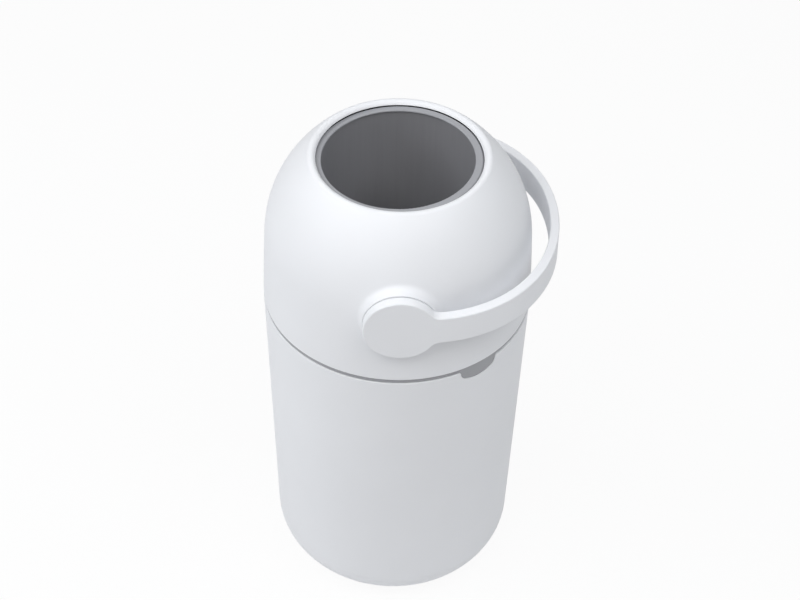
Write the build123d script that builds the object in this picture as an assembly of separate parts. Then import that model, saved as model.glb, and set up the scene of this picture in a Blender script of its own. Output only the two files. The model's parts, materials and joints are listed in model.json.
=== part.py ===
"""Nappy bin: a tall round bin whose domed head holds a ball-shaped drum.

Lengths are in millimetres, +Z is up and the origin is on the floor, on the axis of the bin. The
drum turns about the hub axis, which runs along Y, and its handle rests towards +X. The head tips
up about a hinge at the back left, opposite the thumb latch.
"""
from build123d import *
from math import cos, degrees, hypot, radians, sin, sqrt
import os

# ---- Driving dimensions ---------------------------------------------------------------------

# Main sizes
body_radius = 140.0  # outside, at the top edge
hub_height = 456.0  # of the axis that the drum turns about, above the floor
hub_rise = 84.1  # of that axis above the body's top edge

# Bin body and the pad that it stands on
body_draft = 7.6  # how far the wall leans in from its top edge to the floor
base_round = 46.0  # rounding from the wall into the base
body_wall = 3.0
floor_thickness = 3.5
edge_round = 0.8  # small rounding of the two edges at the seam
pad_edge = 4.4  # flat base left round the pad
pad_thickness = 3.0
pad_proud = 1.0  # how far the pad stands out below the body

# Seam ring between body and head
seam_gap = 1.2  # open joint between the ring and the head
ring_groove = 1.1  # height of the dark groove over the body's edge
ring_groove_depth = 2.4
ring_band = 3.3  # height of the visible grey band
ring_recess = 0.8  # how far the band lies inside the body's face
ring_width = 20.1  # from the body's face to the ring's inner edge
ring_skirt_wall = 2.5
ring_skirt_depth = 12.5
skirt_gap = 0.3
lug_overlap = 5.0  # how far a hinge arm reaches into the ring

# Ring that clamps the bag
bag_ring_wall = 2.6
bag_ring_depth = 27.0
bag_flange_width = 6.8
bag_flange_thickness = 2.0

# Head shell
dome_step = 3.3  # how far the dome lies inside the body's face
dome_drop = 5.9  # of the dome's centre below the hub axis
shoulder_angle = 3.5  # degrees above the dome's centre where the dome turns into the wall
head_wall = 3.0
lip_overhang = 3.0  # how far the lip reaches over the drum's rim ring
lip_round = 5.4
lip_depth = 11.0  # width of the thick ring under the lip
drum_gap = 1.4  # between the drum and the lip or the cradle

# Hub, on both sides of the head
boss_proud = 3.5  # how far the boss stands out of the dome
boss_depth = 11.2
boss_radius = 37.2
boss_flare = 8.0  # rounding from the boss into the dome
bush_radius = 16.0
bush_flange_radius = 20.0
bush_flange_thickness = 2.0
hub_seal_radius = 22.0
hub_seal_width = 3.0
hub_seal_depth = 2.0
stop_rib_start = 1.5  # from the drum's hub pad to the rib that stops the spindle's lug
stop_rib_gap = 1.0  # between the rib and the spindle's flange
running_gap = 0.06

# Cradle that closes the head from below
cradle_wall = 2.5
cradle_overhang = 2.0  # how far the cradle's mouth reaches under the drum's rim ring
cradle_flange_rise = 1.8  # of the flange above the head's edge
cradle_flange_thickness = 3.0
cradle_edge_gap = 0.5
cradle_gap = 0.5  # more room round the drum than the lip leaves
screw_inset = 12.5  # from the body's face to the circle of the cradle screws
screw_count = 6
post_radius = 4.5
post_height = 20.0
post_rib_thickness = 3.0
post_rib_drop = 4.0  # from the top of the post to the top of its rib
post_rib_overlap = 0.3
post_floor = 6.0  # solid end of the post above its screw hole
screw_tip_gap = 2.0  # between a screw's tip and the end of its hole
gasket_inset = 8.0  # from the body's face to the gasket's inner edge
gasket_width = 3.0
gasket_groove = 1.0
gasket_lift = 0.5  # above the seam ring
seal_offset = 2.0  # of the seal's inner edge outside the drum's rim ring
seal_width = 2.0
upper_seal_height = 4.0
lower_seal_height = 3.0
seal_gap = 0.4

# Drum
drum_room = 10.0  # between the dome's inside and the drum
drum_wall = 2.5
drum_lean = 1.0  # degrees, handle side up, as the drum stands in the photograph
mouth_inset = 37.7  # of the rim rings' outer edge inside the drum's radius
rim_width = 9.7
rim_step = 1.6  # from the rim's inner edge out to the barrel
rim_round = 1.0  # of the rim's inner edge
rim_depth = 0.5  # straight part of the rim below its rounding
rim_skirt = 4.5  # from the barrel's end down to the rim ring's foot
seat_overhang = 2.5  # the seat under a rim ring is this much wider than the ring
barrel_fit = 0.1  # radial gap between the barrel and what holds it
barrel_wall = 2.5
seat_thickness = 3.0
hub_pad_drop = 4.7  # of the flat hub pad inside the drum's radius
hub_pad_thickness = 8.0
drum_flange_width = 10.0
drum_flange_thickness = 2.5
drum_screw_inset = 5.5  # from the drum's inside to the circle of its screws
drum_screw_count = 6
drum_boss_radius = 4.0
drum_boss_height = 9.0

# Spindles
spindle_radius = 12.0
spindle_flange_radius = 24.0
spindle_flange_thickness = 4.0
spindle_square = 16.6
spindle_engagement = 6.0
spindle_screw_circle = 18.0
spindle_screw_count = 4
turn_range = 178.0  # degrees, from one stop to the other
stop_lug_width = 12.0  # degrees
stop_lug_reach = 6.0
stop_gap = 0.3

# Handle
handle_gap = 0.5  # between the hub discs and the bosses
finger_room = 17.5  # between the dome and the strap's tip
strap_bend_lead = 9.7  # how far inside the hub disc's edge the strap starts to bend
strap_side_turn = 50.0  # degrees that the strap's side arc turns
strap_corner_turn = 27.0  # degrees that the next arc turns, before the tip arc
strap_corner_radius = 151.0
strap_height = 32.2
strap_side_thickness = 10.5
strap_tip_thickness = 9.2
disc_step = 0.5  # how much smaller a hub disc is than its boss
neck_round = 12.0
handle_edge_round = 1.4
handle_margin = 5.0  # overlap of the two outlines that cut the handle

# Piston
piston_gap = 0.5  # between the piston and the barrel
piston_thickness = 28.0
piston_cap_depth = 5.0
piston_dish = 5.0
piston_cap_wall = 2.4
piston_rim_width = 6.0
piston_wall = 5.3
piston_web = 3.0
piston_skirt_gap = 0.2
piston_skirt_depth = 2.0
piston_rest_gap = 0.3
piston_seal_offset = 5.0
piston_seal_height = 3.0
piston_seal_depth = 1.5
piston_seal_proud = 0.4
weight_gap = 9.5  # between the weight and the piston's wall
weight_inner_radius = 20.0
weight_thickness = 3.5
weight_screw_inset = 20.0  # from the weight's outer edge to the circle of its screws
weight_screw_count = 3

# Thumb latch, opposite the hinge
latch_angle = 35.7  # degrees from the front of the bin towards the handle
tab_half_width = 21.4
tab_depth = 18.0
tab_bottom_radius = 40.0  # of the arc along its lower edge
tab_bottom_round = 9.0
tab_shoulder = 27.5
tab_corner_round = 3.0
tab_thickness = 3.4
tab_gap = 0.4
tab_room = 1.0  # behind the tab, past its travel
latch_travel = 3.0
latch_arm_inner = 9.0
latch_arm_width = 2.2
latch_bar_thickness = 3.0
latch_bar_drop = 6.8  # of the bar's underside below the body's top edge
latch_bar_height = 5.0
latch_arm_overlap = 0.5  # how far an arm reaches into the tab
striker_half_width = 7.0
striker_thickness = 2.5
striker_inset = 9.5  # of the striker's front behind the body's face
striker_barb_height = 3.0
striker_room = 2.0  # round the striker, where it drops through the ring
latch_gap = 0.3
housing_wall = 2.0
housing_half_width = 20.0
housing_inset = 18.0  # of the housing's back wall behind the body's face
housing_drop = 6.5  # of the housing's floor below the bar
housing_gap = 1.3  # between an arm and the housing's back walls
spring_offset = 15.0
spring_lift = 3.0  # of the springs' axes above the bar's underside
spring_radius = 2.2
spring_wire = 0.5
spring_turns = 5
spring_end = 0.3  # from the end of the wire's middle line to what the spring pushes on

# Hinge
hinge_offset = 3.0  # of the hinge axis outside the body's face
hinge_lift = 0.8  # of the hinge axis above the seam ring
knuckle_radius = 4.5
knuckle_half_width = 12.0
outer_knuckle_width = 11.6
knuckle_side_gap = 0.4
knuckle_gap = 0.7
hinge_pin_radius = 2.0
hinge_pin_gap = 0.05
hinge_pin_overhang = 1.0
bracket_rise = 6.0
bracket_gap = 0.1  # between the head's knuckle and the cuts for the ring's knuckles
outer_gap = 0.3  # past the ends of the ring's knuckles

# Screws
screw_radius = 1.6
screw_head_radius = 3.2
screw_head_height = 2.4
screw_hole_gap = 0.05

# Cuts reach this far past the surface that they cut
cut_past = 1.0

# ---- Sizes that follow ----------------------------------------------------------------------

# Body, seam ring and head
body_top = hub_height - hub_rise
base_radius = body_radius - body_draft
pad_radius = base_radius - base_round - pad_edge
ring_bottom = body_top
ring_top = ring_bottom + ring_groove + ring_band
ring_radius = body_radius - ring_recess
ring_inner_radius = body_radius - ring_width
head_bottom = ring_top + seam_gap
dome_radius = body_radius - dome_step
dome_centre = hub_height - dome_drop
boss_face = dome_radius + boss_proud
boss_inner_face = boss_face - boss_depth
cradle_flange_bottom = head_bottom + cradle_flange_rise
cradle_flange_top = cradle_flange_bottom + cradle_flange_thickness
screw_circle_radius = body_radius - screw_inset
gasket_radius = body_radius - gasket_inset

# Drum and its mouths
drum_radius = dome_radius - head_wall - drum_room
clear_radius = drum_radius + drum_gap
rim_outer_radius = drum_radius - mouth_inset
rim_inner_radius = rim_outer_radius - rim_width
lip_inner_radius = rim_outer_radius - lip_overhang
rim_height = sqrt(drum_radius**2 - lip_inner_radius**2)
barrel_radius = rim_inner_radius + rim_step
barrel_hole = barrel_radius + barrel_wall + barrel_fit
barrel_half_length = rim_height - rim_round - rim_depth
cradle_mouth_radius = rim_outer_radius - cradle_overhang
seal_inner_radius = rim_outer_radius + seal_offset
seal_foot = sqrt((drum_radius + seal_gap) ** 2 - seal_inner_radius**2)
upper_seal_seat = seal_foot + upper_seal_height
lower_seal_seat = seal_foot + lower_seal_height
hub_pad_face = drum_radius - hub_pad_drop
drum_screw_radius = drum_radius - drum_wall - drum_screw_inset

# Spindles and handle
disc_back = boss_face + handle_gap
handle_half_width = disc_back + strap_side_thickness
handle_reach = dome_radius + finger_room + strap_tip_thickness
hub_disc_radius = boss_radius - disc_step
handle_straight = hub_disc_radius - strap_bend_lead
spindle_flange_face = hub_pad_face + spindle_flange_thickness
spindle_end = disc_back + spindle_engagement

# Piston
piston_radius = barrel_radius - piston_gap
piston_middle = -barrel_half_length + piston_rest_gap + piston_thickness / 2
piston_core_half = piston_thickness / 2 - piston_cap_depth
weight_outer_radius = piston_radius - piston_wall - weight_gap
weight_screw_circle = weight_outer_radius - weight_screw_inset

# Latch and hinge
hinge_radius = body_radius + hinge_offset
hinge_height = ring_top + hinge_lift
outer_knuckle_start = knuckle_half_width + knuckle_side_gap
latch_bar_bottom = body_top - latch_bar_drop
striker_bottom = latch_bar_bottom - striker_barb_height
striker_outer = body_radius - striker_inset
striker_inner = striker_outer - striker_thickness
latch_bar_outer = striker_inner - striker_barb_height / 2
tab_back = ring_radius - tab_thickness
housing_front = sqrt(tab_back**2 - housing_half_width**2) - latch_travel - tab_gap
housing_back = body_radius - housing_inset
housing_bottom = latch_bar_bottom - housing_drop
spring_height = latch_bar_bottom + spring_lift


# ---- Helpers --------------------------------------------------------------------------------

def round_arc(centre, start, end):
    """The shorter arc about centre from start to end."""
    a = (start[0] - centre[0], start[1] - centre[1])
    b = (end[0] - centre[0], end[1] - centre[1])
    middle = (a[0] + b[0], a[1] + b[1])
    stretch = hypot(*a) / hypot(*middle)
    return ThreePointArc(start, (centre[0] + middle[0] * stretch, centre[1] + middle[1] * stretch), end)


def top_left(x, z, radius):
    """The point of a circle that lies 30 degrees before its top, on the side of the axis."""
    return (x - radius * sin(radians(30)), z + radius * cos(radians(30)))


def on_circle(centre, radius, x):
    """The upper point of a circle at a given distance from the axis."""
    return (x, centre + sqrt(radius**2 - x**2))


def turned(points):
    """A body of revolution about Z from a closed outline of (radius, height) points."""
    return revolve(Plane.XZ * make_face(Polyline(*points, close=True)), Axis.Z, 360)


def turned_edges(edges):
    """The same from the edges of the outline."""
    return revolve(Plane.XZ * make_face(edges), Axis.Z, 360)


def ring(inner, outer, bottom, top):
    return turned([(inner, bottom), (outer, bottom), (outer, top), (inner, top)])


def rod_y(radius, start, end):
    """A cylinder along Y from start to end."""
    middle = (start + end) / 2
    return Pos(0, middle, 0) * Rot(90, 0, 0) * Cylinder(radius, abs(end - start))


def tube_y(inner, wall, start, end):
    """A tube along Y from start to end."""
    return rod_y(inner + wall, start, end) - rod_y(inner, start, end)


def block(x, y, z):
    """A box from three (low, high) pairs."""
    sizes = [high - low for low, high in (x, y, z)]
    centre = [(high + low) / 2 for low, high in (x, y, z)]
    return Pos(*centre) * Box(*sizes)


def spread(count, radius, piece, first=0.0):
    """Copies of a piece round Z at even angles, as a list."""
    return [Rot(0, 0, first + 360 * i / count) * Pos(radius, 0, 0) * piece for i in range(count)]


def both_sides(piece):
    return piece, mirror(piece, Plane.XZ)


def screw(length, hole=0.0):
    """A screw that points up from z = 0, with its head below. With a hole size it is the hole."""
    shank = Pos(0, 0, length / 2) * Cylinder(screw_radius + hole, length)
    if hole:
        return shank
    return shank + Pos(0, 0, -screw_head_height / 2) * Cylinder(screw_head_radius, screw_head_height)


def at_latch(piece):
    """Places a piece that was made with the latch at -Y and the hinge at +Y."""
    return Rot(0, 0, latch_angle) * piece


def at_drum(piece):
    """Places a piece that was made about the drum's centre with the barrel upright."""
    return Pos(0, 0, hub_height) * Rot(0, -drum_lean, 0) * piece


# ---- Bin body -------------------------------------------------------------------------------

def make_bin_body():
    outer = rounded_face([(0, pad_proud), (base_radius, pad_proud), (body_radius, body_top), (0, body_top)],
                         {1: base_round, 2: edge_round})
    inner_floor = pad_thickness + floor_thickness
    open_top = body_top + cut_past
    inner = rounded_face([(0, inner_floor), (base_radius - body_wall, inner_floor),
                          (body_radius - body_wall, open_top), (0, open_top)],
                         {1: base_round - body_wall})
    body = revolve(outer, Axis.Z, 360) - revolve(inner, Axis.Z, 360)
    body -= ring(0, pad_radius, 0, pad_thickness)
    tab_window = extrude(tab_outline(tab_gap), body_radius - ring_inner_radius + cut_past)
    body -= at_latch(Plane.XZ.offset(ring_inner_radius) * tab_window)
    body -= at_latch(hinge_barrel(knuckle_radius + knuckle_gap, -outer_knuckle_start, outer_knuckle_start))
    return body


def rounded_face(points, rounds):
    """A face in the XZ plane with some of its corners rounded."""
    face = make_face(Polyline(*points, close=True))
    for index, radius in rounds.items():
        corner = face.vertices().sort_by_distance(points[index])[0]
        face = fillet(corner, radius)
    return Plane.XZ * face


def make_base_pad():
    return ring(0, pad_radius, 0, pad_thickness)


def make_seam_ring():
    groove_radius = body_radius - ring_groove_depth
    band_bottom = ring_bottom + ring_groove
    skirt_radius = body_radius - body_wall - skirt_gap - ring_skirt_depth * wall_taper()
    section = [
        (ring_inner_radius, ring_bottom),
        (skirt_radius - ring_skirt_wall, ring_bottom),
        (skirt_radius - ring_skirt_wall, ring_bottom - ring_skirt_depth),
        (skirt_radius, ring_bottom - ring_skirt_depth),
        (skirt_radius, ring_bottom),
        (groove_radius, ring_bottom),
        (groove_radius, band_bottom),
        (ring_radius, band_bottom),
        (ring_radius, ring_top),
        (ring_inner_radius, ring_top),
    ]
    part = turned(section)
    for side in (1, -1):
        low, high = sorted((side * outer_knuckle_start, side * (outer_knuckle_start + outer_knuckle_width)))
        arm = block((low, high), (ring_radius - lug_overlap, hinge_radius), (band_bottom, ring_top))
        part += at_latch(hinge_barrel(knuckle_radius, low, high) + arm)
    part -= at_latch(hinge_barrel(knuckle_radius + knuckle_gap, -outer_knuckle_start, outer_knuckle_start))
    part -= at_latch(pin_hole())
    part -= at_latch(Plane.XZ.offset(tab_well_back()) * extrude(tab_outline(tab_gap), ring_radius))
    slot_half = striker_half_width + striker_room
    part -= at_latch(block((-slot_half, slot_half),
                           (-striker_outer - striker_room, -latch_bar_outer + cut_past),
                           (ring_bottom - cut_past, ring_top + cut_past)))
    return part


def tab_well_back():
    """The flat back of the tab's well. The tab's back is round, so its ends lie nearer the axis."""
    end_drop = tab_back - sqrt(tab_back**2 - tab_shoulder**2)
    return tab_back - end_drop - latch_travel - tab_room


def wall_taper():
    """How much the body's wall leans out for each millimetre of height."""
    return (body_radius - base_radius) / (body_top - pad_proud)


def make_bag_ring():
    outer = ring_inner_radius - skirt_gap
    inner = outer - bag_ring_wall
    return turned([
        (inner, ring_top - bag_ring_depth),
        (outer, ring_top - bag_ring_depth),
        (outer, ring_top),
        (inner + bag_flange_width, ring_top),
        (inner + bag_flange_width, ring_top + bag_flange_thickness),
        (inner, ring_top + bag_flange_thickness),
    ])


# ---- Hinge ----------------------------------------------------------------------------------

def hinge_barrel(radius, start, end):
    """A cylinder on the hinge axis, with the hinge at +Y."""
    middle = (start + end) / 2
    return Pos(middle, hinge_radius, hinge_height) * Rot(0, 90, 0) * Cylinder(radius, abs(end - start))


def pin_hole():
    half = outer_knuckle_start + outer_knuckle_width + cut_past
    return hinge_barrel(hinge_pin_radius + hinge_pin_gap, -half, half)


def make_hinge_pin():
    half = outer_knuckle_start + outer_knuckle_width + hinge_pin_overhang
    return at_latch(hinge_barrel(hinge_pin_radius, -half, half))


# ---- Latch ----------------------------------------------------------------------------------

def tab_outline(grow):
    """The outline of the thumb tab, seen from outside, grown by a gap."""
    width, depth, shoulder = tab_half_width + grow, tab_depth + grow, tab_shoulder + grow
    band_height = ring_band + grow
    bottom_radius = tab_bottom_radius + grow
    side_end = sqrt(bottom_radius**2 - width**2) - bottom_radius + depth
    tab = Sketch() + make_face([
        Line((width, 0), (-width, 0)),
        Line((-width, 0), (-width, -side_end)),
        ThreePointArc((-width, -side_end), (0, -depth), (width, -side_end)),
        Line((width, -side_end), (width, 0)),
    ])
    tab = fillet(tab.vertices().group_by(Axis.Y)[0], tab_bottom_round + grow)
    strip = Pos(0, -band_height / 2) * Rectangle(2 * shoulder, band_height)
    face = tab + strip
    corners = [v for v in face.vertices() if abs(v.Y + band_height) < 0.01 and abs(v.X) < shoulder - grow]
    face = fillet(corners, tab_corner_round - grow)
    if grow:
        face += Pos(0, grow / 2) * Rectangle(2 * shoulder, grow)
    return Pos(0, ring_top) * face


def make_latch_button():
    plate = Plane.XZ.offset(ring_inner_radius) * extrude(tab_outline(0), ring_radius)
    plate &= ring(tab_back, ring_radius, 0, head_bottom)
    bar_top = latch_bar_bottom + latch_bar_height
    button = plate
    for side in (1, -1):
        low, high = sorted((side * latch_arm_inner, side * (latch_arm_inner + latch_arm_width)))
        button += block((low, high), (-tab_back - latch_arm_overlap, -latch_bar_outer),
                        (latch_bar_bottom, bar_top))
    half = latch_arm_inner + latch_arm_width
    button += block((-half, half), (-latch_bar_outer, -latch_bar_outer + latch_bar_thickness),
                    (latch_bar_bottom, bar_top))
    return at_latch(button)


def make_latch_housing():
    half = housing_half_width
    part = block((-half, half), (-housing_front, -housing_back),
                 (housing_bottom, housing_bottom + housing_wall))
    for side in (1, -1):
        cheek = sorted((side * half, side * (half - housing_wall)))
        part += block(cheek, (-housing_front, -housing_back), (housing_bottom, ring_bottom))
        back = sorted((side * half, side * (latch_arm_inner + latch_arm_width + housing_gap)))
        part += block(back, (-housing_back - housing_wall, -housing_back), (housing_bottom, ring_bottom))
    return at_latch(part)


def make_latch_springs():
    spring_edge = spring_offset + spring_radius + spring_wire
    front = -sqrt(tab_back**2 - spring_edge**2)
    back = -housing_back - housing_wall
    length = back - front - 2 * spring_end
    path = Helix(pitch=length / spring_turns, height=length, radius=spring_radius)
    coil = sweep(Plane(origin=path @ 0, z_dir=path % 0) * Circle(spring_wire / 2), path=path)
    coil = Pos(0, front + spring_end, 0) * Rot(-90, 0, 0) * coil
    return at_latch(Compound([Pos(side * spring_offset, 0, spring_height) * coil for side in (1, -1)]))


def make_latch_striker():
    post = block((-striker_half_width, striker_half_width), (-striker_outer, -striker_inner),
                 (striker_bottom, cradle_flange_bottom))
    barb = block((-striker_half_width, striker_half_width), (-striker_inner, -latch_bar_outer - latch_gap),
                 (striker_bottom, striker_bottom + striker_barb_height - latch_gap))
    return at_latch(post + barb)


# ---- Head -----------------------------------------------------------------------------------

def head_corners():
    """Corners of the head's section that its outside and its hollow share."""
    angle = radians(shoulder_angle)
    inner_dome = dome_radius - head_wall
    lip_foot_x = lip_inner_radius + lip_depth
    shoulder = (dome_radius * cos(angle), dome_centre + dome_radius * sin(angle))
    inner_shoulder = (inner_dome * cos(angle), dome_centre + inner_dome * sin(angle))
    lip_foot = on_circle(hub_height, clear_radius, lip_foot_x)
    lip_back = on_circle(dome_centre, inner_dome, lip_foot_x)
    return shoulder, inner_shoulder, lip_foot, lip_back, (sin(angle), -cos(angle))


def head_outside():
    """The head as a thick ring: wall, dome, rounded lip and a straight inside under the lip."""
    shoulder, _, lip_foot, _, down = head_corners()
    lip_x = lip_inner_radius + lip_round
    lip_z = dome_centre + sqrt((dome_radius - lip_round) ** 2 - lip_x**2)
    blend = dome_radius / (dome_radius - lip_round)
    lip_start = (lip_x * blend, dome_centre + (lip_z - dome_centre) * blend)
    lip_end = circle_meeting((lip_x, lip_z), lip_round, (0, hub_height), clear_radius)
    return turned_edges([
        TangentArc(shoulder, (body_radius, head_bottom), tangent=down),
        round_arc((0, dome_centre), shoulder, lip_start),
        ThreePointArc(lip_start, top_left(lip_x, lip_z, lip_round), lip_end),
        round_arc((0, hub_height), lip_end, lip_foot),
        Line(lip_foot, (lip_foot[0], head_bottom)),
        Line((lip_foot[0], head_bottom), (body_radius, head_bottom)),
    ])


def head_hollow():
    """What the head's wall leaves empty, up to the thick ring under the lip."""
    _, inner_shoulder, lip_foot, lip_back, down = head_corners()
    foot = (body_radius - head_wall, head_bottom)
    return turned_edges([
        TangentArc(inner_shoulder, foot, tangent=down),
        round_arc((0, dome_centre), inner_shoulder, lip_back),
        Line(lip_back, lip_foot),
        Line(lip_foot, (0, lip_foot[1])),
        Line((0, lip_foot[1]), (0, head_bottom)),
        Line((0, head_bottom), foot),
    ])


def circle_meeting(centre_a, radius_a, centre_b, radius_b):
    """Where two circles meet, nearer the axis."""
    dx, dz = centre_b[0] - centre_a[0], centre_b[1] - centre_a[1]
    apart = hypot(dx, dz)
    along = (radius_a**2 - radius_b**2 + apart**2) / (2 * apart)
    across = sqrt(radius_a**2 - along**2)
    ux, uz = dx / apart, dz / apart
    options = [(centre_a[0] + along * ux - s * across * uz, centre_a[1] + along * uz + s * across * ux)
               for s in (1, -1)]
    return min(options)


def sector(inner, outer, start, end, front, back):
    """A piece of a ring about the hub axis, between two angles from +X towards +Z."""
    piece = extrude(make_face([
        Line((inner, 0), (outer, 0)),
        ThreePointArc((outer, 0), turn_point(outer, (end - start) / 2), turn_point(outer, end - start)),
        Line(turn_point(outer, end - start), turn_point(inner, end - start)),
        ThreePointArc(turn_point(inner, end - start), turn_point(inner, (end - start) / 2), (inner, 0)),
    ]), back - front)
    return Pos(0, -front, 0) * (Plane.XZ * (Rot(0, 0, start) * piece))


def turn_point(radius, angle):
    return (radius * cos(radians(angle)), radius * sin(radians(angle)))


def make_head_shell():
    shell = head_outside()
    for boss in both_sides(Pos(0, 0, hub_height) * rod_y(boss_radius, -boss_face, -drum_radius)):
        shell += boss
    feet = [e for e in shell.edges().filter_by(GeomType.CIRCLE, reverse=True)
            if abs(e.center().Z - hub_height) < boss_radius]
    shell = fillet(feet, boss_flare)
    shell -= head_hollow()
    for boss in both_sides(Pos(0, 0, hub_height) * rod_y(boss_radius - head_wall, -dome_radius,
                                                         -boss_inner_face)):
        shell += boss
    rib_inner = spindle_flange_radius + stop_rib_gap
    lug_angle = stop_lug_width / 2 + degrees(stop_gap / rib_inner)
    stop = sector(rib_inner, rib_inner + stop_lug_reach,
                  drum_lean + turn_range + lug_angle, 360 + drum_lean - lug_angle,
                  hub_pad_face + stop_rib_start, boss_inner_face)
    for piece in both_sides(Pos(0, 0, hub_height) * stop):
        shell += piece
    bore = rod_y(bush_radius, -boss_face - cut_past, -boss_inner_face + cut_past)
    groove = tube_y(hub_seal_radius, hub_seal_width, -boss_face - cut_past, -boss_face + hub_seal_depth)
    for cut in both_sides(Pos(0, 0, hub_height) * (bore + groove)):
        shell -= cut
    shell -= seal_groove(upper_seal_seat)
    for side in (1, -1):
        low, high = sorted((side * (knuckle_half_width + bracket_gap),
                            side * (outer_knuckle_start + outer_knuckle_width + outer_gap)))
        shell -= at_latch(hinge_barrel(knuckle_radius + knuckle_gap, low, high))
    bracket = block((-knuckle_half_width, knuckle_half_width), (body_radius - head_wall / 2, hinge_radius),
                    (hinge_height, hinge_height + bracket_rise))
    knuckle = hinge_barrel(knuckle_radius, -knuckle_half_width, knuckle_half_width)
    shell += at_latch(bracket + knuckle)
    shell -= at_latch(pin_hole())
    rib_length = body_radius - head_wall - screw_circle_radius + post_rib_overlap
    post = Pos(0, 0, post_height / 2) * Cylinder(post_radius, post_height)
    post += block((0, rib_length), (-post_rib_thickness / 2, post_rib_thickness / 2),
                  (0, post_height - post_rib_drop))
    post -= screw(post_height - post_floor, screw_hole_gap)
    for piece in spread(screw_count, screw_circle_radius, Pos(0, 0, cradle_flange_top) * post):
        shell += at_latch(piece)
    return shell


def make_seal(seat):
    """A sliding seal over the drum, in a groove whose floor is seat above the hub axis."""
    return Pos(0, 0, hub_height) * ring(seal_inner_radius, seal_inner_radius + seal_width, seal_foot, seat)


def seal_groove(seat):
    """The groove of that seal, cut down past the face that the drum moves under."""
    return Pos(0, 0, hub_height) * ring(seal_inner_radius, seal_inner_radius + seal_width,
                                        seal_foot - cut_past, seat)


def make_bush():
    bush = rod_y(bush_radius, -boss_face, -boss_inner_face)
    bush += rod_y(bush_flange_radius, -boss_inner_face, -boss_inner_face + bush_flange_thickness)
    bush -= rod_y(spindle_radius + running_gap, -boss_face - cut_past,
                  -boss_inner_face + bush_flange_thickness + cut_past)
    return Pos(0, 0, hub_height) * bush


def make_hub_seal():
    seal = tube_y(hub_seal_radius, hub_seal_width, -boss_face, -boss_face + hub_seal_depth)
    return Pos(0, 0, hub_height) * seal


def make_drum_cradle():
    inner = clear_radius + cradle_gap
    outer = inner + cradle_wall
    low = cradle_flange_bottom - hub_height
    high = cradle_flange_top - hub_height
    edge = body_radius - head_wall - cradle_edge_gap
    mouth_in = (cradle_mouth_radius, hub_height - sqrt(inner**2 - cradle_mouth_radius**2))
    mouth_out = (cradle_mouth_radius, hub_height - sqrt(outer**2 - cradle_mouth_radius**2))
    turn_out = (sqrt(outer**2 - low**2), cradle_flange_bottom)
    turn_in = (sqrt(inner**2 - high**2), cradle_flange_top)
    cradle = turned_edges([
        Line(mouth_in, mouth_out),
        round_arc((0, hub_height), mouth_out, turn_out),
        Line(turn_out, (edge, cradle_flange_bottom)),
        Line((edge, cradle_flange_bottom), (edge, cradle_flange_top)),
        Line((edge, cradle_flange_top), turn_in),
        round_arc((0, hub_height), turn_in, mouth_in),
    ])
    cradle -= mirror(seal_groove(lower_seal_seat), Plane.XY.offset(hub_height))
    cradle -= ring(gasket_radius, gasket_radius + gasket_width, cradle_flange_bottom - cut_past,
                   cradle_flange_bottom + gasket_groove)
    for hole in spread(screw_count, screw_circle_radius,
                       Pos(0, 0, cradle_flange_bottom) * screw(cradle_flange_thickness, screw_hole_gap)):
        cradle -= at_latch(hole)
    return cradle


def make_cradle_screws():
    length = cradle_flange_thickness + post_height - post_floor - screw_tip_gap
    piece = Pos(0, 0, cradle_flange_bottom) * screw(length)
    return at_latch(Compound(spread(screw_count, screw_circle_radius, piece)))


def make_rim_gasket():
    return ring(gasket_radius, gasket_radius + gasket_width, ring_top + gasket_lift,
                cradle_flange_bottom + gasket_groove)


# ---- Drum -----------------------------------------------------------------------------------

def make_drum_casing():
    """Both shells of the drum in one piece, about the drum's centre."""
    inner = drum_radius - drum_wall
    casing = Sphere(drum_radius) - Sphere(inner)
    for pad in both_sides(rod_y(sqrt(drum_radius**2 - hub_pad_face**2), -hub_pad_face,
                                -hub_pad_face + hub_pad_thickness)):
        casing += pad
    casing += ring(inner - drum_flange_width, inner + drum_wall / 2, -drum_flange_thickness,
                   drum_flange_thickness)
    seat_top = barrel_half_length - rim_skirt
    for low, high in ((seat_top - seat_thickness, seat_top), (-seat_top, seat_thickness - seat_top)):
        casing += ring(barrel_hole, rim_outer_radius + seat_overhang, low, high)
    for boss in spread(drum_screw_count, drum_screw_radius,
                       Pos(0, 0, drum_boss_height / 2) * Cylinder(drum_boss_radius, drum_boss_height)):
        casing += boss
    reach = 2 * drum_radius
    for cut in both_sides(block((-reach, reach), (-reach, -hub_pad_face), (-reach, reach))):
        casing -= cut
    casing -= ring(0, barrel_hole, -reach, reach)
    for low, high in ((seat_top, reach), (-reach, -seat_top)):
        casing -= ring(0, rim_outer_radius, low, high)
    for hole in spread(drum_screw_count, drum_screw_radius,
                       Pos(0, 0, -drum_flange_thickness) * screw(drum_boss_height, screw_hole_gap)):
        casing -= hole
    for hole in spindle_screw_places(rod_y(screw_radius + screw_hole_gap, -hub_pad_face - cut_past,
                                           -hub_pad_face + hub_pad_thickness + cut_past)):
        for cut in both_sides(hole):
            casing -= cut
    return casing


def spindle_screw_places(piece):
    step = 360 / spindle_screw_count
    return [Rot(0, step / 2 + step * i, 0) * Pos(spindle_screw_circle, 0, 0) * piece
            for i in range(spindle_screw_count)]


def make_drum_shell(casing, side):
    reach = 2 * drum_radius
    half = block((-reach, reach), (-reach, reach), sorted((0, side * reach)))
    return at_drum(casing & half)


def make_barrel():
    return at_drum(ring(barrel_radius, barrel_radius + barrel_wall, -barrel_half_length, barrel_half_length))


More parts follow.
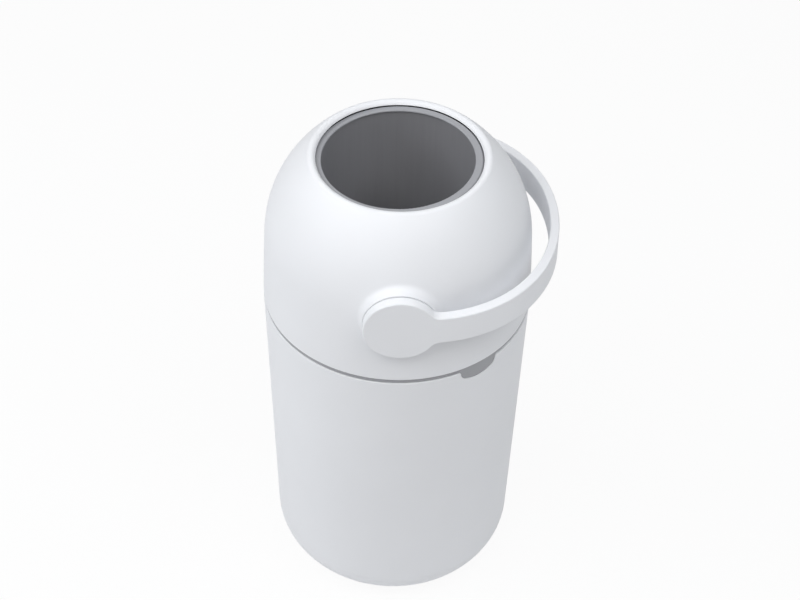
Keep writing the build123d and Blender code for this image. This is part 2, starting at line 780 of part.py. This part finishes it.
def make_rim_ring(side):
    """The ring at one mouth of the barrel, flat where the lip leaves it open. Side 1 is the upper mouth."""
    centre = (rim_inner_radius + rim_round, rim_height - rim_round)
    flat_edge = (lip_inner_radius, rim_height)
    edge = on_circle(0, drum_radius, rim_outer_radius)
    low = barrel_half_length - rim_skirt
    piece = turned_edges([
        Line((rim_inner_radius, barrel_half_length), (rim_inner_radius, centre[1])),
        ThreePointArc((rim_inner_radius, centre[1]), top_left(*centre, rim_round), (centre[0], rim_height)),
        Line((centre[0], rim_height), flat_edge),
        round_arc((0, 0), flat_edge, edge),
        Line(edge, (rim_outer_radius, low)),
        Line((rim_outer_radius, low), (barrel_hole, low)),
        Line((barrel_hole, low), (barrel_hole, barrel_half_length)),
        Line((barrel_hole, barrel_half_length), (rim_inner_radius, barrel_half_length)),
    ])
    if side < 0:
        piece = mirror(piece, Plane.XY)
    return at_drum(piece)


def make_drum_screws():
    piece = Pos(0, 0, -drum_flange_thickness) * screw(drum_boss_height)
    return at_drum(Compound(spread(drum_screw_count, drum_screw_radius, piece)))


def make_spindle():
    """The front spindle, with its flange on the drum and its square end in the handle."""
    shaft = rod_y(spindle_radius, -spindle_flange_face, -disc_back)
    flange = rod_y(spindle_flange_radius, -spindle_flange_face, -hub_pad_face)
    half = spindle_square / 2
    square = block((-half, half), (-spindle_end, -disc_back), (-half, half))
    lug = sector(spindle_flange_radius - cut_past, spindle_flange_radius + stop_lug_reach,
                 -stop_lug_width / 2, stop_lug_width / 2, hub_pad_face, spindle_flange_face)
    spindle = shaft + flange + square + lug
    for hole in spindle_screw_places(rod_y(screw_radius + screw_hole_gap, -spindle_flange_face - cut_past,
                                           -hub_pad_face + cut_past)):
        spindle -= hole
    return spindle


def make_spindle_screws():
    shank = rod_y(screw_radius, -spindle_flange_face, -hub_pad_face + hub_pad_thickness - screw_tip_gap)
    head = rod_y(screw_head_radius, -spindle_flange_face - screw_head_height, -spindle_flange_face)
    solids = []
    for piece in spindle_screw_places(shank + head):
        solids.extend(both_sides(piece))
    return at_drum(Compound(solids))


# ---- Handle ---------------------------------------------------------------------------------

def strap_arcs(reach, half_width, corner_radius):
    """Three tangent arcs from the strap's straight part round to its tip, in plan."""
    turns = (strap_side_turn, strap_corner_turn, 90 - strap_side_turn - strap_corner_turn)
    s1, c1 = sin(radians(turns[0])), cos(radians(turns[0]))
    s2, c2 = sin(radians(turns[0] + turns[1])), cos(radians(turns[0] + turns[1]))
    along = reach - handle_straight - corner_radius * (s2 - s1)
    across = half_width - corner_radius * (c1 - c2)
    share = s1 * c2 - (1 - s2) * (1 - c1)
    side_radius = (along * c2 - (1 - s2) * across) / share
    tip_radius = (s1 * across - (1 - c1) * along) / share
    start, heading, arcs = (handle_straight, half_width), 0.0, []
    for radius, turn in zip((side_radius, corner_radius, tip_radius), turns):
        middle, end = (arc_step(start, radius, heading, heading + part * turn) for part in (0.5, 1.0))
        arcs.append(ThreePointArc(start, middle, end))
        start, heading = end, heading + turn
    return arcs


def arc_step(start, radius, heading, new_heading):
    """The point reached on an arc that bends from one heading to the next, towards the tip."""
    a, b = radians(heading), radians(new_heading)
    return (start[0] + radius * (sin(b) - sin(a)), start[1] - radius * (cos(a) - cos(b)))


def make_handle():
    outer = strap_arcs(handle_reach, handle_half_width, strap_corner_radius)
    inner = strap_arcs(handle_reach - strap_tip_thickness, disc_back,
                       strap_corner_radius - strap_side_thickness)
    back = -hub_disc_radius - handle_margin
    half_plan = make_face([
        *outer,
        *inner,
        Line(outer[-1] @ 1, inner[-1] @ 1),
        Line((handle_straight, disc_back), (back, disc_back)),
        Line((back, disc_back), (back, handle_half_width)),
        Line((back, handle_half_width), (handle_straight, handle_half_width)),
    ])
    plan = half_plan + mirror(half_plan, Plane.XZ)
    tall = hub_disc_radius + handle_margin
    band = extrude(Pos(0, 0, -tall) * plan, 2 * tall)
    strap_end = handle_reach + handle_margin
    side = Circle(hub_disc_radius) + Pos(strap_end / 2, 0) * Rectangle(strap_end, strap_height)
    necks = [v for v in side.vertices() if 0 < v.X < hub_disc_radius]
    side = fillet(necks, neck_round)
    wide = handle_half_width + handle_margin
    handle = band & extrude(Plane.XZ.offset(-wide) * side, 2 * wide)
    handle = fillet(handle.edges().filter_by(GeomType.LINE, reverse=True), handle_edge_round)
    half = spindle_square / 2
    for socket in both_sides(block((-half, half), (-spindle_end, -disc_back + cut_past), (-half, half))):
        handle -= socket
    return at_drum(handle)


# ---- Piston ---------------------------------------------------------------------------------

def at_piston(piece):
    return at_drum(Pos(0, 0, piston_middle) * piece)


def make_piston_body():
    wall_inner = piston_radius - piston_wall
    body = ring(wall_inner, piston_radius, -piston_core_half, piston_core_half)
    body += ring(0, wall_inner + piston_skirt_gap, -piston_web / 2, piston_web / 2)
    for side in (1, -1):
        middle = side * piston_seal_offset
        body -= ring(piston_radius - piston_seal_depth, piston_radius + cut_past,
                     middle - piston_seal_height / 2, middle + piston_seal_height / 2)
    for hole in spread(weight_screw_count, weight_screw_circle,
                       Pos(0, 0, -piston_web) * Cylinder(screw_radius + screw_hole_gap, 4 * piston_web)):
        body -= hole
    return at_piston(body)


def make_piston_cap(side):
    """A dished face. It lies on the piston's wall and a skirt holds it inside."""
    top = piston_thickness / 2
    low = piston_core_half
    rim = piston_radius - piston_rim_width
    skirt = piston_radius - piston_wall - piston_skirt_gap
    depth = piston_dish
    sag_radius = (rim**2 + depth**2) / (2 * depth)
    centre = top - depth + sag_radius
    under = sag_radius + piston_cap_wall
    skirt_inner = skirt - piston_cap_wall
    skirt_foot = low - piston_skirt_depth
    under_edge = (skirt_inner, centre - sqrt(under**2 - skirt_inner**2))
    cap = turned_edges([
        round_arc((0, centre), (0, top - depth), (rim, top)),
        Line((rim, top), (piston_radius, top)),
        Line((piston_radius, top), (piston_radius, low)),
        Line((piston_radius, low), (skirt, low)),
        Line((skirt, low), (skirt, skirt_foot)),
        Line((skirt, skirt_foot), (skirt_inner, skirt_foot)),
        Line((skirt_inner, skirt_foot), under_edge),
        round_arc((0, centre), under_edge, (0, centre - under)),
        Line((0, centre - under), (0, top - depth)),
    ])
    if side < 0:
        cap = mirror(cap, Plane.XY)
    return at_piston(cap)


def make_piston_weight():
    bottom = piston_web / 2
    weight = ring(weight_inner_radius, weight_outer_radius, bottom, bottom + weight_thickness)
    for hole in spread(weight_screw_count, weight_screw_circle,
                       Pos(0, 0, bottom) * Cylinder(screw_radius + screw_hole_gap, 4 * weight_thickness)):
        weight -= hole
    return at_piston(weight)


def make_weight_screws():
    head_bottom_height = -piston_web / 2
    length = piston_web + weight_thickness
    piece = Pos(0, 0, head_bottom_height) * screw(length)
    return at_piston(Compound(spread(weight_screw_count, weight_screw_circle, piece)))


def make_piston_seals():
    seals = []
    for side in (1, -1):
        middle = side * piston_seal_offset
        seals.append(ring(piston_radius - piston_seal_depth, piston_radius + piston_seal_proud,
                          middle - piston_seal_height / 2, middle + piston_seal_height / 2))
    return at_piston(Compound(seals))


# ---- All nodes ------------------------------------------------------------------------------

def make_all():
    casing = make_drum_casing()
    spindles = both_sides(make_spindle())
    bushes = both_sides(make_bush())
    hub_seals = both_sides(make_hub_seal())
    return {
        "bin_body": make_bin_body(),
        "base_pad": make_base_pad(),
        "seam_ring": make_seam_ring(),
        "bag_ring": make_bag_ring(),
        "hinge_pin": make_hinge_pin(),
        "latch_housing": make_latch_housing(),
        "latch_button": make_latch_button(),
        "latch_springs": make_latch_springs(),
        "head_shell": make_head_shell(),
        "drum_cradle": make_drum_cradle(),
        "cradle_screws": make_cradle_screws(),
        "latch_striker": make_latch_striker(),
        "rim_gasket": make_rim_gasket(),
        "upper_drum_seal": make_seal(upper_seal_seat),
        "lower_drum_seal": mirror(make_seal(lower_seal_seat), Plane.XY.offset(hub_height)),
        "front_bush": bushes[0],
        "rear_bush": bushes[1],
        "front_hub_seal": hub_seals[0],
        "rear_hub_seal": hub_seals[1],
        "upper_drum_shell": make_drum_shell(casing, 1),
        "lower_drum_shell": make_drum_shell(casing, -1),
        "drum_screws": make_drum_screws(),
        "barrel": make_barrel(),
        "top_rim_ring": make_rim_ring(1),
        "bottom_rim_ring": make_rim_ring(-1),
        "front_spindle": at_drum(spindles[0]),
        "rear_spindle": at_drum(spindles[1]),
        "spindle_screws": make_spindle_screws(),
        "handle": make_handle(),
        "piston_body": make_piston_body(),
        "piston_top_cap": make_piston_cap(1),
        "piston_bottom_cap": make_piston_cap(-1),
        "piston_weight": make_piston_weight(),
        "weight_screws": make_weight_screws(),
        "piston_seals": make_piston_seals(),
    }


os.makedirs("parts", exist_ok=True)
for name, shape in make_all().items():
    export_step(shape, f"parts/{name}.step")
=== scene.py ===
"""Nappy bin: finishes, latch springs, floor, light and camera around the model."""
import json
import math

import bpy
from mathutils import Matrix, Vector


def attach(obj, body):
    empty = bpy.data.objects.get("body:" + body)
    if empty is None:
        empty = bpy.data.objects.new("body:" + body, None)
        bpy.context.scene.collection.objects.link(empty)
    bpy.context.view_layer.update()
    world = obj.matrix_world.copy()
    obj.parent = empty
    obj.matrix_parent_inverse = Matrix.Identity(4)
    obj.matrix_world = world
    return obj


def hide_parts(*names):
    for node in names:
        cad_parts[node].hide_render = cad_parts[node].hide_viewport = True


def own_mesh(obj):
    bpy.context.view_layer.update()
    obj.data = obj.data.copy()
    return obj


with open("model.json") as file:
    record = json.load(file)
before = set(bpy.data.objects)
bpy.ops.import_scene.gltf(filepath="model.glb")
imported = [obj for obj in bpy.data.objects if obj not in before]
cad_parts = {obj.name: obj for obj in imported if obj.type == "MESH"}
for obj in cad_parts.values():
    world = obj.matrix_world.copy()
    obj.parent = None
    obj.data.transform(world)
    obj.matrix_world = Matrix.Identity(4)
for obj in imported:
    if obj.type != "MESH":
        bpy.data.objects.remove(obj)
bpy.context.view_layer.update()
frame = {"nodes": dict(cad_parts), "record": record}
nodes = frame["nodes"]

# ---- Driving values, in metres --------------------------------------------------------------

# Camera, fitted to the photograph's 800 x 600 frame
camera_distance = 1.3418  # from the bin's axis, along the floor
camera_height = 1.6401
camera_azimuth = math.radians(1.63)  # of the place, from -Y towards -X
camera_heading = math.radians(1.78)  # of the view, from +Y towards +X
camera_pitch = math.radians(43.79)  # below level
camera_roll = math.radians(1.41)
camera_lens = 78.75  # millimetres
camera_sensor = 36.0  # its width, in millimetres

# Floor and world
floor_reach = 6.0  # from the bin's axis to each edge
floor_colour = (0.86, 0.86, 0.865)
floor_glow = 0.92  # share of plain white that the camera and reflections see in the floor
world_colour = (0.97, 0.985, 1.0)
world_strength = 0.23

# Softboxes: place, width and height, watts, colour
softboxes = {
    "front_softbox": ((0.6, -1.15, 2.2), 1.6, 12.8, (1.0, 0.96, 0.92)),
    "key_softbox": ((-0.8, -1.2, 2.2), 0.9, 12.5, (0.98, 0.99, 1.0)),
    "left_softbox": ((-1.6, -0.2, 1.9), 1.6, 22.0, (0.97, 0.98, 1.0)),
    "left_fill": ((-2.0, -0.4, 0.7), 1.4, 2.5, (0.9, 0.97, 1.0)),
    "right_softbox": ((1.2, -0.5, 2.2), 1.4, 13.0, (0.88, 0.94, 1.0)),
    "right_fill": ((2.0, -0.4, 0.7), 1.4, 1.0, (1.0, 1.0, 1.0)),
    "back_softbox": ((0.0, 1.6, 2.0), 1.6, 5.0, (1.0, 0.98, 0.95)),
}
softbox_aim = (0.0, 0.0, 0.35)

# Finishes: scales are in noise cells a metre, shades are factors of the base colour
flow_scale = 7.0  # slow flow marks in moulded plastic
sheen_scale = 60.0  # patches of its uneven sheen
sheen_spread = 0.05  # of its roughness, up and down
wave_scale = 14.0  # its slight waviness
wave_depth = 0.0004
wave_strength = 0.5
grain_scale = 900.0  # its spark-eroded grain
plastic_grain_depth = 0.00002
acetal_grain_depth = 0.00001
draw_scale = 260.0  # marks across the barrel
draw_stretch = 0.04  # of their scale along it
draw_shades = (0.93, 1.07)
draw_roughness = (0.34, 0.48)
draw_depth = 0.00002
dust_scale = 180.0  # dust and bloom on rubber
dust_shades = (0.8, 1.5)
rubber_roughness = (0.65, 0.85)
rubber_specular = 0.3
rubber_grain_scale = 1600.0
rubber_grain_depth = 0.00003
plating_scale = 400.0  # marks in the zinc plating
plating_shades = (0.85, 1.1)
plating_roughness = (0.22, 0.42)
plating_depth = 0.00001

# ---- Materials ------------------------------------------------------------------------------


def new_material(name):
    material = bpy.data.materials.new(name)
    material.use_nodes = True
    tree = material.node_tree
    tree.nodes.clear()
    output = tree.nodes.new("ShaderNodeOutputMaterial")
    shader = tree.nodes.new("ShaderNodeBsdfPrincipled")
    tree.links.new(shader.outputs["BSDF"], output.inputs["Surface"])
    return material, tree, shader


def noise(tree, scale, detail, roughness=0.5, stretch=None):
    """A noise texture in the frame's own metres, drawn out along +Z where stretch is under 1."""
    place = tree.nodes.new("ShaderNodeTexCoord").outputs["Object"]
    if stretch is not None:
        mapping = tree.nodes.new("ShaderNodeMapping")
        mapping.inputs["Scale"].default_value = (1.0, 1.0, stretch)
        tree.links.new(place, mapping.inputs["Vector"])
        place = mapping.outputs["Vector"]
    texture = tree.nodes.new("ShaderNodeTexNoise")
    texture.inputs["Scale"].default_value = scale
    texture.inputs["Detail"].default_value = detail
    texture.inputs["Roughness"].default_value = roughness
    tree.links.new(place, texture.inputs["Vector"])
    return texture.outputs["Fac"]


def remap(tree, value, limits):
    """Spreads a 0 to 1 value between two limits."""
    node = tree.nodes.new("ShaderNodeMapRange")
    node.inputs["To Min"].default_value, node.inputs["To Max"].default_value = limits
    tree.links.new(value, node.inputs["Value"])
    return node.outputs["Result"]


def tint(tree, value, colour, shades):
    """Mixes two shades of a colour by a 0 to 1 value."""
    node = tree.nodes.new("ShaderNodeMix")
    node.data_type = "RGBA"
    for socket, factor in zip("AB", shades):
        node.inputs[socket].default_value = (*(channel * factor for channel in colour), 1.0)
    tree.links.new(value, node.inputs["Factor"])
    return node.outputs["Result"]


def bump(tree, height, distance, strength=1.0, below=None):
    """A surface normal from a height, on top of another normal where below gives one."""
    node = tree.nodes.new("ShaderNodeBump")
    node.inputs["Distance"].default_value = distance
    node.inputs["Strength"].default_value = strength
    tree.links.new(height, node.inputs["Height"])
    if below is not None:
        tree.links.new(below, node.inputs["Normal"])
    return node.outputs["Normal"]


def moulded_plastic(name, colour, roughness, grain_depth=plastic_grain_depth, variation=0.03, specular=0.5):
    """Injection-moulded plastic: a fine spark-eroded grain, slow flow marks and a slightly uneven sheen."""
    material, tree, shader = new_material(name)
    shader.inputs["Specular IOR Level"].default_value = specular
    flow = noise(tree, flow_scale, 2.0)
    tree.links.new(tint(tree, flow, colour, (1 - variation, 1 + variation)), shader.inputs["Base Color"])
    sheen = noise(tree, sheen_scale, 4.0, 0.6)
    tree.links.new(remap(tree, sheen, (roughness - sheen_spread, roughness + sheen_spread)),
                   shader.inputs["Roughness"])
    waviness = bump(tree, noise(tree, wave_scale, 1.0), wave_depth, wave_strength)
    tree.links.new(bump(tree, noise(tree, grain_scale, 5.0, 0.65), grain_depth, below=waviness),
                   shader.inputs["Normal"])
    return material


def marked_surface(name, colour, marks, shades, roughness, depth, metallic=0.0):
    """A surface whose colour, roughness and relief all follow the same marks."""
    material, tree, shader = new_material(name)
    shader.inputs["Metallic"].default_value = metallic
    value = noise(tree, **marks)
    tree.links.new(tint(tree, value, colour, shades), shader.inputs["Base Color"])
    tree.links.new(remap(tree, value, roughness), shader.inputs["Roughness"])
    tree.links.new(bump(tree, value, depth), shader.inputs["Normal"])
    return material


def drawn_plastic(name, colour):
    """The barrel: satin plastic with faint marks along its length, where the piston slides."""
    marks = {"scale": draw_scale, "detail": 5.0, "stretch": draw_stretch}
    return marked_surface(name, colour, marks, draw_shades, draw_roughness, draw_depth)


def soft_rubber(name, colour):
    """Matt rubber with a little dust and a fine grain."""
    material, tree, shader = new_material(name)
    shader.inputs["Specular IOR Level"].default_value = rubber_specular
    dust = noise(tree, dust_scale, 5.0, 0.7)
    tree.links.new(tint(tree, dust, colour, dust_shades), shader.inputs["Base Color"])
    tree.links.new(remap(tree, dust, rubber_roughness), shader.inputs["Roughness"])
    tree.links.new(bump(tree, noise(tree, rubber_grain_scale, 3.0), rubber_grain_depth),
                   shader.inputs["Normal"])
    return material


def bright_steel(name, colour):
    """Zinc-plated steel with small uneven marks."""
    marks = {"scale": plating_scale, "detail": 6.0, "roughness": 0.7}
    return marked_surface(name, colour, marks, plating_shades, plating_roughness, plating_depth,
                          metallic=1.0)


materials = {
    "white_shell": moulded_plastic("white_moulded_plastic", (0.80, 0.809, 0.832), 0.5, specular=0.32),
    "grey_trim": moulded_plastic("grey_moulded_plastic", (0.32, 0.325, 0.345), 0.34, variation=0.04),
    "dark_barrel": drawn_plastic("barrel_plastic", (0.25, 0.25, 0.265)),
    "inner_grey": moulded_plastic("inner_grey_plastic", (0.46, 0.47, 0.49), 0.5, variation=0.04),
    "acetal": moulded_plastic("natural_acetal", (0.78, 0.78, 0.73), 0.3, acetal_grain_depth),
    "rubber": soft_rubber("soft_black_rubber", (0.035, 0.035, 0.038)),
    "steel": bright_steel("zinc_plated_steel", (0.62, 0.62, 0.63)),
}

slot_of = {part["node"]: part["material_slot"] for part in frame["record"]["subparts"]}
for node, piece in nodes.items():
    for material_slot in piece.material_slots:
        material_slot.material = materials[slot_of[node]]

# ---- Latch springs --------------------------------------------------------------------------


def make_latch_springs():
    """The springs' coils, copied onto the bin so that they don't move with the tab."""
    springs = bpy.data.objects.new("latch_spring_coils", nodes["latch_springs"].data.copy())
    bpy.context.scene.collection.objects.link(springs)
    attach(springs, "bin")
    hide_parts("latch_springs")
    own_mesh(springs)


make_latch_springs()

# ---- Floor, light and camera ----------------------------------------------------------------


def lit_white(name, colour, glow):
    """A white surface that takes shadows, with a glow that only the camera and reflections see."""
    material = bpy.data.materials.new(name)
    material.use_nodes = True
    tree = material.node_tree
    tree.nodes.clear()
    output = tree.nodes.new("ShaderNodeOutputMaterial")
    matt = tree.nodes.new("ShaderNodeBsdfDiffuse")
    matt.inputs["Color"].default_value = (*colour, 1.0)
    light = tree.nodes.new("ShaderNodeEmission")
    light.inputs["Color"].default_value = (1.0, 1.0, 1.0, 1.0)
    path = tree.nodes.new("ShaderNodeLightPath")
    seen = tree.nodes.new("ShaderNodeMath")
    seen.operation = "MAXIMUM"
    tree.links.new(path.outputs["Is Camera Ray"], seen.inputs[0])
    tree.links.new(path.outputs["Is Glossy Ray"], seen.inputs[1])
    share = tree.nodes.new("ShaderNodeMath")
    share.operation = "MULTIPLY"
    share.inputs[1].default_value = glow
    tree.links.new(seen.outputs[0], share.inputs[0])
    mix = tree.nodes.new("ShaderNodeMixShader")
    tree.links.new(share.outputs[0], mix.inputs["Fac"])
    tree.links.new(matt.outputs[0], mix.inputs[1])
    tree.links.new(light.outputs[0], mix.inputs[2])
    tree.links.new(mix.outputs[0], output.inputs["Surface"])
    return material


def make_floor():
    mesh = bpy.data.meshes.new("floor")
    corners = [(x * floor_reach, y * floor_reach, 0) for x, y in ((-1, -1), (1, -1), (1, 1), (-1, 1))]
    mesh.from_pydata(corners, [], [(0, 1, 2, 3)])
    floor = bpy.data.objects.new("floor", mesh)
    bpy.context.scene.collection.objects.link(floor)
    mesh.materials.append(lit_white("pale_floor", floor_colour, floor_glow))


def make_world():
    """A soft fill on the object, and plain white to the camera."""
    world = bpy.data.worlds.new("studio")
    bpy.context.scene.world = world
    world.use_nodes = True
    tree = world.node_tree
    tree.nodes.clear()
    output = tree.nodes.new("ShaderNodeOutputWorld")
    fill = tree.nodes.new("ShaderNodeBackground")
    fill.inputs["Color"].default_value = (*world_colour, 1.0)
    fill.inputs["Strength"].default_value = world_strength
    white = tree.nodes.new("ShaderNodeBackground")
    white.inputs["Color"].default_value = (1.0, 1.0, 1.0, 1.0)
    path = tree.nodes.new("ShaderNodeLightPath")
    mix = tree.nodes.new("ShaderNodeMixShader")
    tree.links.new(path.outputs["Is Camera Ray"], mix.inputs["Fac"])
    tree.links.new(fill.outputs[0], mix.inputs[1])
    tree.links.new(white.outputs[0], mix.inputs[2])
    tree.links.new(mix.outputs[0], output.inputs["Surface"])


def make_softbox(name, place, size, watts, colour):
    data = bpy.data.lights.new(name, "AREA")
    data.shape = "SQUARE"
    data.size = size
    data.energy = watts
    data.color = colour
    lamp = bpy.data.objects.new(name, data)
    bpy.context.scene.collection.objects.link(lamp)
    lamp.location = place
    lamp.rotation_euler = (Vector(softbox_aim) - Vector(place)).to_track_quat("-Z", "Y").to_euler()


def make_camera():
    data = bpy.data.cameras.new("camera")
    data.lens = camera_lens
    data.sensor_width = camera_sensor
    camera = bpy.data.objects.new("camera", data)
    bpy.context.scene.collection.objects.link(camera)
    place = (-camera_distance * math.sin(camera_azimuth), -camera_distance * math.cos(camera_azimuth),
             camera_height)
    turn = (Matrix.Rotation(-camera_heading, 4, "Z")
            @ Matrix.Rotation(math.pi / 2 - camera_pitch, 4, "X")
            @ Matrix.Rotation(camera_roll, 4, "Z"))
    camera.matrix_world = Matrix.Translation(place) @ turn
    bpy.context.scene.camera = camera


make_floor()
make_world()
for name, values in softboxes.items():
    make_softbox(name, *values)
make_camera()
bpy.context.scene.view_settings.view_transform = "Standard"
